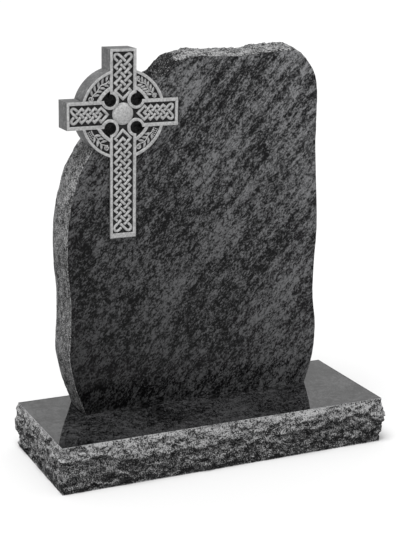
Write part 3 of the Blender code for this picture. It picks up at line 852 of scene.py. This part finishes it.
class HEADSTONE_OT_cross(bpy.types.Operator):
    """Cross slab: ring, limbs, borders, sunk panels and hollows"""
    bl_idname = "headstone.cross"
    bl_label = "Cross slab"

    def execute(self, context):
        settings = context.scene.cross_settings
        slab = self.plain_slab(settings)
        self.sink_panels(settings, slab)
        self.sink_quadrants(settings, slab)
        recalculate_normals(slab)
        self.wear_edges(slab)
        self.give_finishes(settings, slab)
        smooth(slab, SHARP_ANGLE)
        finish_piece(slab, TABLET_SLOT)
        return {"FINISHED"}

    def plain_slab(self, settings):
        half, reach = settings.limb / 2, settings.side_reach
        body = (-settings.thickness, 0)
        slab = face_drum(settings, "cross_slab", settings.ring_radius, 0, 0, body, RING_SEGMENTS)
        shaft = face_block(settings, "shaft", (-half, half), (-settings.foot_reach, settings.top_reach), body)
        boolean(slab, shaft, "UNION")
        boolean(slab, face_block(settings, "arms", (-reach, reach), (-half, half), body), "UNION")
        return slab

    # The sunk ground runs together round the boss, between the rims of the hollows
    def sink_panels(self, settings, slab):
        half = settings.limb / 2
        cut = (-settings.carving_depth, OVERRUN)
        past = (-settings.carving_depth - OVERRUN, 2 * OVERRUN)
        rim_radius = HOLLOW_RADIUS + HOLLOW_RIM
        shaft_half, arm_half = half - SHAFT_BORDER, half - ARM_BORDER
        reach = settings.side_reach - END_BORDER
        ground = face_block(settings, "shaft_ground", (-shaft_half, shaft_half),
                            (-settings.foot_reach + FOOT_BORDER, settings.top_reach - END_BORDER), cut)
        arms = face_block(settings, "arms_ground", (-reach, reach), (-arm_half, arm_half), cut)
        boolean(ground, arms, "UNION")
        core = face_drum(settings, "boss_keep", BOSS_RADIUS * BOSS_CORE, 0, 0, past, CORE_SEGMENTS)
        boolean(ground, core, "DIFFERENCE")
        for sign_u, sign_v in QUADRANTS:
            rim = face_drum(settings, "rim_keep", rim_radius, sign_u * half, sign_v * half, past)
            boolean(ground, rim, "DIFFERENCE")
        boolean(slab, ground, "DIFFERENCE")

    def sink_quadrants(self, settings, slab):
        cut, deep = (-settings.carving_depth, OVERRUN), (-HOLLOW_DEPTH, OVERRUN)
        for sign_u, sign_v in QUADRANTS:
            outline = quadrant_outline(settings, sign_u, sign_v)
            boolean(slab, face_plate(settings, "quadrant_ground", outline, cut), "DIFFERENCE")
            boolean(slab, hollow_tool(settings, sign_u, sign_v, 0.0, deep), "DIFFERENCE")

    def wear_edges(self, slab):
        edge = slab.modifiers.new("worn_edges", "BEVEL")
        edge.width = WORN_EDGE
        edge.segments = 2
        edge.limit_method = "ANGLE"
        edge.angle_limit = WORN_ANGLE
        edge.use_clamp_overlap = True
        apply_modifiers(slab)

    # Frosted faces and upper walls, dark ground and hollows, honed sides
    def give_finishes(self, settings, slab):
        frosted, ground, honed = 0, 1, 2
        dress(slab, "frosted_carving", "sunk_ground", "honed_sides")
        origin = on_face(settings, 0, 0, 0)
        for polygon in slab.data.polygons:
            u, v = polygon.center.x - origin.x, polygon.center.z - origin.z
            depth, facing = polygon.center.y - origin.y, -polygon.normal.y
            if depth < FACE_BAND and facing > FACES_FRONT:
                polygon.material_index = frosted
            elif depth < settings.carving_depth + GROUND_PLAY and self.inside_carving(settings, u, v):
                upper_wall = abs(facing) < FACES_SIDE and depth < settings.carving_depth * WALL_SHARE
                polygon.material_index = frosted if upper_wall else ground
            elif depth < HOLLOW_DEPTH + HOLLOW_PLAY and math.hypot(u, v) < RING_INNER_RADIUS + HOLLOW_PLAY:
                polygon.material_index = ground
            else:
                polygon.material_index = honed

    def inside_carving(self, settings, u, v):
        half = settings.limb / 2 - RIM_PLAY
        in_shaft = abs(u) < half and -settings.foot_reach + RIM_PLAY < v < settings.top_reach - RIM_PLAY
        in_arms = abs(v) < half and abs(u) < settings.side_reach - RIM_PLAY
        in_ring = math.hypot(u, v) < settings.ring_radius - RIM_PLAY
        return in_shaft or in_arms or in_ring


# Knotwork

# A strand turns back at the sides, at the outer end and at the two nested points near the boss
def turned_step(node, step, last_row):
    across, along = step
    if node[0] in (0, 4):
        across = -across
    if node[1] == 0 or node in ((2, last_row), (2, last_row - 2)):
        along = -along
    return across, along


# Loops of the plait on its lattice: column 0 to 4 across the panel, row 0 at its outer end
def plait_loops(last_row):
    inner_point = (2, last_row - 2)
    beside_point = ((0, last_row), (4, last_row))
    free = set()
    for row in range(last_row):
        for column in range(5):
            for across in (-1, 1):
                ends = ((column, row), (column + across, row + 1))
                on_lattice = (column + row) % 2 == 1 and 0 <= column + across <= 4
                if on_lattice and ends[0] != inner_point and ends[1] not in beside_point:
                    free.add(ends)
    loops = []
    while free:
        first, second = min(free, key=lambda ends: (ends[0][1], ends[0][0], ends[1][0]))
        start = (first, (second[0] - first[0], 1))
        node, step = start
        loop = []
        while not loop or (node, step) != start:
            loop.append((node, step))
            ahead = (node[0] + step[0], node[1] + step[1])
            free.discard((min(node, ahead, key=lambda n: n[1]), max(node, ahead, key=lambda n: n[1])))
            node, step = ahead, turned_step(ahead, step, last_row)
        loops.append(loop)
    return loops


# The strands of the outer corners turn in a half round through these lattice places
def corner_round(from_side):
    reach = math.sqrt(0.5)
    places = [(0.5 + reach * math.cos(turn), 0.5 + reach * math.sin(turn)) for turn in CORNER_TURNS]
    return places[::-1] if from_side else places


# How high a strand lies at a lattice place: 1 over another, 0 under it
def strand_level(node, step, last_row, quarters):
    column, row = node
    if column in (0, 4) or row == 0 or (column == 2 and row >= last_row - 2):
        return TURN_LEVEL
    if row == last_row - 1:
        return 1.0
    rising = step[0] * step[1] < 0
    if quarters in (1, 3):
        rising = not rising
    return 1.0 if (rising if column != 2 else not rising) else 0.0


# Turns a place drawn above the boss round it by quarter turns: 0 top arm, 1 right arm, 2 shaft, 3 left arm
def turned(place, quarters):
    spin = -math.pi / 2 * quarters
    return Vector((place.x * math.cos(spin) - place.y * math.sin(spin),
                   place.x * math.sin(spin) + place.y * math.cos(spin)))


# Each loop as places on the face with the height of the strand there, level between its dives
def knot_paths(settings, last_row, apex, outer_end, half_tip, quarters):
    half_row = (outer_end - settings.strand_width / 2 - apex) / (last_row + LOOP_REACH)
    column_width = half_tip / 2

    def place(column, row):
        return turned(Vector(((column - 2) * column_width, apex + (last_row - row) * half_row)), quarters)

    paths = []
    for loop in plait_loops(last_row):
        keys = []
        for k, (node, step) in enumerate(loop):
            keys.append((place(*node), strand_level(node, step, last_row, quarters)))
            following = loop[(k + 1) % len(loop)][0]
            if {node[1], following[1]} == {0, 1} and {node[0], following[0]} in ({0, 1}, {3, 4}):
                mirrored = 4 in (node[0], following[0])
                for column, row in corner_round(node[1] == 1):
                    keys.append((place(4 - column if mirrored else column, row), TURN_LEVEL))
        path = []
        for (here, level), (there, next_level) in zip(keys, keys[1:] + keys[:1]):
            steps = [(0.0, level)]
            if level == 0.0:
                steps += [(DIVE_END, 0.0), (DIVE_START, 1.0)]
            if next_level == 0.0:
                steps += [(1 - DIVE_START, 1.0), (1 - DIVE_END, 0.0)]
            for share, height in steps:
                top = -STRAND_OVER * height - STRAND_UNDER * (1 - height)
                path.append((here.lerp(there, share), top))
        paths.append(path)
    return paths


# The strand's section: upright sides buried in the ground and a low round back
def strand_section(width, crown):
    data = bpy.data.curves.new("strand_section", "CURVE")
    data.dimensions = "2D"
    half = width / 2
    points = [(-half * STRAND_TAPER, -STRAND_DEPTH), (half * STRAND_TAPER, -STRAND_DEPTH), (half, -crown)]
    for k in range(1, CROWN_STEPS):
        angle = math.pi * k / CROWN_STEPS
        points.append((half * math.cos(angle), -crown + crown * math.sin(angle)))
    points.append((-half, -crown))
    spline = data.splines.new("POLY")
    spline.points.add(len(points) - 1)
    for point, (across, up) in zip(spline.points, points):
        point.co = (across, up, 0, 1)
    spline.use_cyclic_u = True
    section = bpy.data.objects.new("strand_section", data)
    bpy.context.collection.objects.link(section)
    return section


# Sweeps a strand along paths on the face, thickened where a path turns so that its width stays even
def sweep(settings, name, paths, width, crown, closed):
    section = strand_section(width, crown)
    data = bpy.data.curves.new(name, "CURVE")
    data.dimensions = "3D"
    data.twist_mode = "Z_UP"
    data.bevel_mode = "OBJECT"
    data.bevel_object = section
    data.use_fill_caps = True
    for path in paths:
        spline = data.splines.new("POLY")
        count = len(path)
        spline.points.add(count - 1)
        for k, (place, top) in enumerate(path):
            swell = 1.0
            if closed or 0 < k < count - 1:
                before = (place - path[k - 1][0]).normalized()
                after = (path[(k + 1) % count][0] - place).normalized()
                swell = 1 / math.cos(before.angle(after) / 2)
            spline.points[k].co = (place.x, place.y, top, 1)
            spline.points[k].radius = swell
        spline.use_cyclic_u = closed
    swept = bpy.data.objects.new(name, data)
    bpy.context.collection.objects.link(swept)
    swept.rotation_euler = UPRIGHT
    swept.location = on_face(settings, 0, 0, 0)
    select_only(swept)
    bpy.ops.object.convert(target="MESH")
    swept = bpy.context.object
    bpy.data.objects.remove(section)
    apply_place(swept)
    recalculate_normals(swept)
    return swept


class HEADSTONE_OT_knotwork(bpy.types.Operator):
    """Knotwork: woven strands in the shaft, the top and the arms"""
    bl_idname = "headstone.knotwork"
    bl_label = "Knotwork"

    def execute(self, context):
        settings = context.scene.cross_settings
        half = settings.limb / 2
        shaft_tip = half - SHAFT_BORDER - SHAFT_KNOT_MARGIN
        arm_tip = half - ARM_BORDER - ARM_KNOT_MARGIN
        side_end = settings.side_reach - END_BORDER
        panels = (
            (TOP_STEPS, TOP_KNOT_APEX, settings.top_reach - END_BORDER, shaft_tip),
            (SIDE_STEPS, SIDE_KNOT_APEX, side_end, arm_tip),
            (SHAFT_STEPS, SHAFT_KNOT_APEX, settings.foot_reach - FOOT_BORDER, shaft_tip),
            (SIDE_STEPS, SIDE_KNOT_APEX, side_end, arm_tip))
        paths = []
        for quarters, (last_row, apex, end, half_tip) in enumerate(panels):
            paths += knot_paths(settings, last_row, apex, end - KNOT_CLEARANCE, half_tip, quarters)
        knotwork = sweep(settings, "knotwork", paths, settings.strand_width, STRAND_CROWN, True)
        finish_carving(knotwork, ROUND_ANGLE)
        return {"FINISHED"}


# Boss and ornament of the quadrants

# A dome on the face: a ball drawn to its radius and rise, with its middle at a depth
def dome(settings, name, grid, radius, rise, centre, middle):
    bpy.ops.mesh.primitive_uv_sphere_add(segments=grid[0], ring_count=grid[1], radius=1.0)
    ball = bpy.context.object
    ball.name = name
    ball.scale = (radius, radius, rise)
    ball.rotation_euler = UPRIGHT
    ball.location = on_face(settings, centre[0], centre[1], middle)
    apply_place(ball)
    return ball


class HEADSTONE_OT_boss(bpy.types.Operator):
    """Boss: a low dome at the crossing"""
    bl_idname = "headstone.boss"
    bl_label = "Boss"

    def execute(self, context):
        settings = context.scene.cross_settings
        boss = dome(settings, "boss", BOSS_GRID, BOSS_RADIUS, BOSS_CROWN + BOSS_DROP, (0, 0), -BOSS_DROP)
        finish_carving(boss, SHARP_ANGLE)
        return {"FINISHED"}


def polar(sign_u, sign_v, share, radius):
    angle = ARC_START + share * ARC_SPAN
    return Vector((sign_u * math.cos(angle), sign_v * math.sin(angle))) * radius, angle


# A leaf blade: pointed at both ends, with a groove along its middle
def leaf_blade(settings, centre, heading):
    bpy.ops.mesh.primitive_grid_add(x_subdivisions=LEAF_GRID[0], y_subdivisions=LEAF_GRID[1], size=1.0)
    leaf = bpy.context.object
    for vertex in leaf.data.vertices:
        along, across = vertex.co.x * 2, vertex.co.y * 2
        reach = max(0.0, 1 - abs(along) ** LEAF_POINT) ** LEAF_FULLNESS
        bend = LEAF_BEND * LEAF_WIDTH * (1 - along * along)
        back = math.sqrt(max(0.0, 1 - abs(across) ** LEAF_BACK))
        groove = GROOVE_DEPTH * math.exp(-(across / GROOVE_WIDTH) ** 2)
        height = LEAF_RISE * (back * LEAF_BACK_SHARE - groove) * (LEAF_TIP + (1 - LEAF_TIP) * reach)
        vertex.co = (along * LEAF_LENGTH / 2, across * reach * LEAF_WIDTH / 2 + bend, height - LEAF_SINK)
    leaf.rotation_euler = UPRIGHT
    leaf.data.transform(Matrix.Rotation(heading, 4, "Z"))
    leaf.location = on_face(settings, centre.x, centre.y, -settings.carving_depth)
    apply_place(leaf)
    return leaf


class HEADSTONE_OT_foliage(bpy.types.Operator):
    """Quadrant ornament: leaves, spirals and beads between the limbs"""
    bl_idname = "headstone.foliage"
    bl_label = "Quadrant ornament"

    def execute(self, context):
        settings = context.scene.cross_settings
        pieces, curls = [], []
        for sign_u, sign_v in QUADRANTS:
            for share in SPIRAL_SHARES[sign_u, sign_v]:
                curls.append(self.spiral(sign_u, sign_v, share))
            curls.append(self.stem(sign_u, sign_v))
            pieces += self.leaves(settings, sign_u, sign_v)
            if sign_v < 0:
                pieces += self.beads(settings, sign_u, sign_v)
        pieces.append(sweep(settings, "spirals", curls, SPIRAL_WIDTH, SPIRAL_CROWN, False))
        finish_carving(join(pieces, "quadrant_foliage"), ROUND_ANGLE)
        return {"FINISHED"}

    # Pairs of leaves lean away from the stem on both its sides
    def leaves(self, settings, sign_u, sign_v):
        made = []
        first, last = LEAF_SHARES[sign_u, sign_v]
        pairs = LEAF_PAIRS[sign_v]
        for k in range(pairs):
            share = first + (last - first) * k / (pairs - 1)
            for side in (-1, 1):
                centre, angle = polar(sign_u, sign_v, share, STEM_RADIUS + side * LEAF_OFFSET)
                heading = angle + math.pi / 2 - side * LEAF_LEAN
                heading = math.atan2(sign_v * math.sin(heading), sign_u * math.cos(heading))
                made.append(leaf_blade(settings, centre, heading))
        return made

    def spiral(self, sign_u, sign_v, share):
        centre, angle = polar(sign_u, sign_v, share, SPIRAL_CENTRE_RADIUS)
        path = []
        for k in range(SPIRAL_STEPS + 1):
            part = k / SPIRAL_STEPS
            turn = angle + sign_u * sign_v * part * SPIRAL_TURNS * 2 * math.pi
            reach = SPIRAL_RADIUS * (1 - SPIRAL_TIGHTNESS * part)
            path.append((centre + Vector((math.cos(turn), math.sin(turn))) * reach, -ORNAMENT_DROP))
        return path

    # The stem waves along the middle of the quadrant, between the leaves
    def stem(self, sign_u, sign_v):
        path = []
        for k in range(STEM_STEPS + 1):
            share = k / STEM_STEPS
            wave = STEM_WAVE * math.sin(share * STEM_WAVES * math.pi)
            path.append((polar(sign_u, sign_v, share, STEM_RADIUS + wave)[0], -ORNAMENT_DROP))
        return path

    # Rows of beads under the rim of the ring, one fewer in each row
    def beads(self, settings, sign_u, sign_v):
        made = []
        for row in range(BEAD_ROWS):
            radius = settings.ring_radius - RING_RIM - BEAD_PITCH * (row + BEAD_INSET)
            for k in range(BEAD_COUNT - row):
                share = (k + BEAD_START) * BEAD_PITCH / radius / ARC_SPAN
                centre = polar(sign_u, sign_v, share, radius)[0]
                made.append(dome(settings, "bead", BEAD_GRID, BEAD_RADIUS, BEAD_RISE, centre,
                                 -settings.carving_depth))
        return made


# Stage

def aim_camera():
    sin_yaw, cos_yaw = math.sin(CAMERA_YAW), math.cos(CAMERA_YAW)
    level = Vector((sin_yaw, cos_yaw, 0))
    right = Vector((cos_yaw, -sin_yaw, 0))
    ahead = level * math.cos(CAMERA_PITCH) - Vector((0, 0, math.sin(CAMERA_PITCH)))
    up = Vector((0, 0, math.cos(CAMERA_PITCH))) + level * math.sin(CAMERA_PITCH)
    rolled_right = right * math.cos(CAMERA_ROLL) + up * math.sin(CAMERA_ROLL)
    rolled_up = up * math.cos(CAMERA_ROLL) - right * math.sin(CAMERA_ROLL)
    data = bpy.data.cameras.new("camera")
    data.sensor_width = SENSOR
    data.lens = SENSOR * CAMERA_FOCAL_PIXELS / max(IMAGE_SIZE)
    data.clip_end = CAMERA_REACH
    camera = bpy.data.objects.new("camera", data)
    turn = Matrix((rolled_right, rolled_up, -ahead)).transposed().to_4x4()
    camera.matrix_world = Matrix.Translation(CAMERA_PLACE) @ turn
    bpy.context.collection.objects.link(camera)
    bpy.context.scene.camera = camera


class HEADSTONE_OT_stage(bpy.types.Operator):
    """Pale floor, soft light and the camera"""
    bl_idname = "headstone.stage"
    bl_label = "Stage"

    def execute(self, context):
        settings = context.scene.stage_settings
        bpy.ops.mesh.primitive_plane_add(size=FLOOR_SIZE, location=(0, 0, 0))
        floor = context.object
        floor.name = "floor"
        apply_place(floor)
        shader = Shader("pale_floor", 0.9, 0.1)
        shader.principled.inputs["Base Color"].default_value = (*settings.floor_colour, 1.0)
        floor.data.materials.append(shader.material)
        world = bpy.data.worlds.new("studio")
        world.use_nodes = True
        background = world.node_tree.nodes["Background"]
        background.inputs["Color"].default_value = (1.0, 1.0, 1.0, 1.0)
        background.inputs["Strength"].default_value = settings.sky_light
        context.scene.world = world
        sun = bpy.data.lights.new("top_light", "SUN")
        sun.energy = settings.key_light
        sun.angle = TOP_LIGHT_SPREAD
        lamp = bpy.data.objects.new("top_light", sun)
        lamp.rotation_euler = TOP_LIGHT_TILT
        context.collection.objects.link(lamp)
        context.scene.view_settings.view_transform = "Standard"
        aim_camera()
        return {"FINISHED"}


class HEADSTONE_OT_finishes(bpy.types.Operator):
    """Finishes: polished, broken, frosted, sunk and honed granite"""
    bl_idname = "headstone.finishes"
    bl_label = "Stone finishes"

    def execute(self, context):
        stone = context.scene.stone_settings
        polished_granite(stone, "polished_face", roughness=0.16, specular=0.10,
                         lift=(0.60, 0.0, 0.80), start=0.19, contrast=1.38)
        polished_granite(stone, "polished_top", roughness=0.05, specular=0.62,
                         lift=(0.0, 0.0, 0.0), start=0.21, contrast=2.0)
        # The pitched finishes carry painted light and shade; the tablet's edge also a painted shade round its
        # shoulder
        pitched_granite(stone, "pitched_edge", contrast=1.02, tone=-0.045, painted_shading=0.18, shade_shoulder=True)
        pitched_granite(stone, "pitched_side", contrast=1.55, tone=-0.13, painted_shading=1.05, shade_shoulder=False)
        frosted_stone(context.scene.cross_settings)
        sunk_ground(context.scene.cross_settings)
        honed_granite(context.scene.cross_settings)
        return {"FINISHED"}


STEPS = (
    HEADSTONE_OT_finishes,
    HEADSTONE_OT_base,
    HEADSTONE_OT_tablet,
    HEADSTONE_OT_cross,
    HEADSTONE_OT_boss,
    HEADSTONE_OT_knotwork,
    HEADSTONE_OT_foliage,
    HEADSTONE_OT_stage,
)


class HEADSTONE_PT_panel(bpy.types.Panel):
    """Steps and settings of the headstone"""
    bl_label = "Cross headstone"
    bl_idname = "HEADSTONE_PT_panel"
    bl_space_type = "VIEW_3D"
    bl_region_type = "UI"
    bl_category = "Headstone"

    def draw(self, context):
        for step in STEPS:
            self.layout.operator(step.bl_idname)
        scene = context.scene
        for settings in (scene.stone_settings, scene.cross_settings, scene.stage_settings):
            box = self.layout.box()
            for name in type(settings).__annotations__:
                box.prop(settings, name)


SETTINGS = {
    "stone_settings": StoneSettings,
    "cross_settings": CrossSettings,
    "stage_settings": StageSettings,
}


def register():
    for group in SETTINGS.values():
        bpy.utils.register_class(group)
    for name, group in SETTINGS.items():
        setattr(bpy.types.Scene, name, bpy.props.PointerProperty(type=group))
    for step in (*STEPS, HEADSTONE_PT_panel):
        bpy.utils.register_class(step)


def unregister():
    for step in (HEADSTONE_PT_panel, *reversed(STEPS)):
        bpy.utils.unregister_class(step)
    for name, group in SETTINGS.items():
        delattr(bpy.types.Scene, name)
        bpy.utils.unregister_class(group)


def main():
    register()
    bpy.ops.headstone.finishes()
    bpy.ops.headstone.base()
    bpy.ops.headstone.tablet()
    bpy.ops.headstone.cross()
    bpy.ops.headstone.boss()
    bpy.ops.headstone.knotwork()
    bpy.ops.headstone.foliage()
    bpy.ops.headstone.stage()


if __name__ == "__main__":
    main()
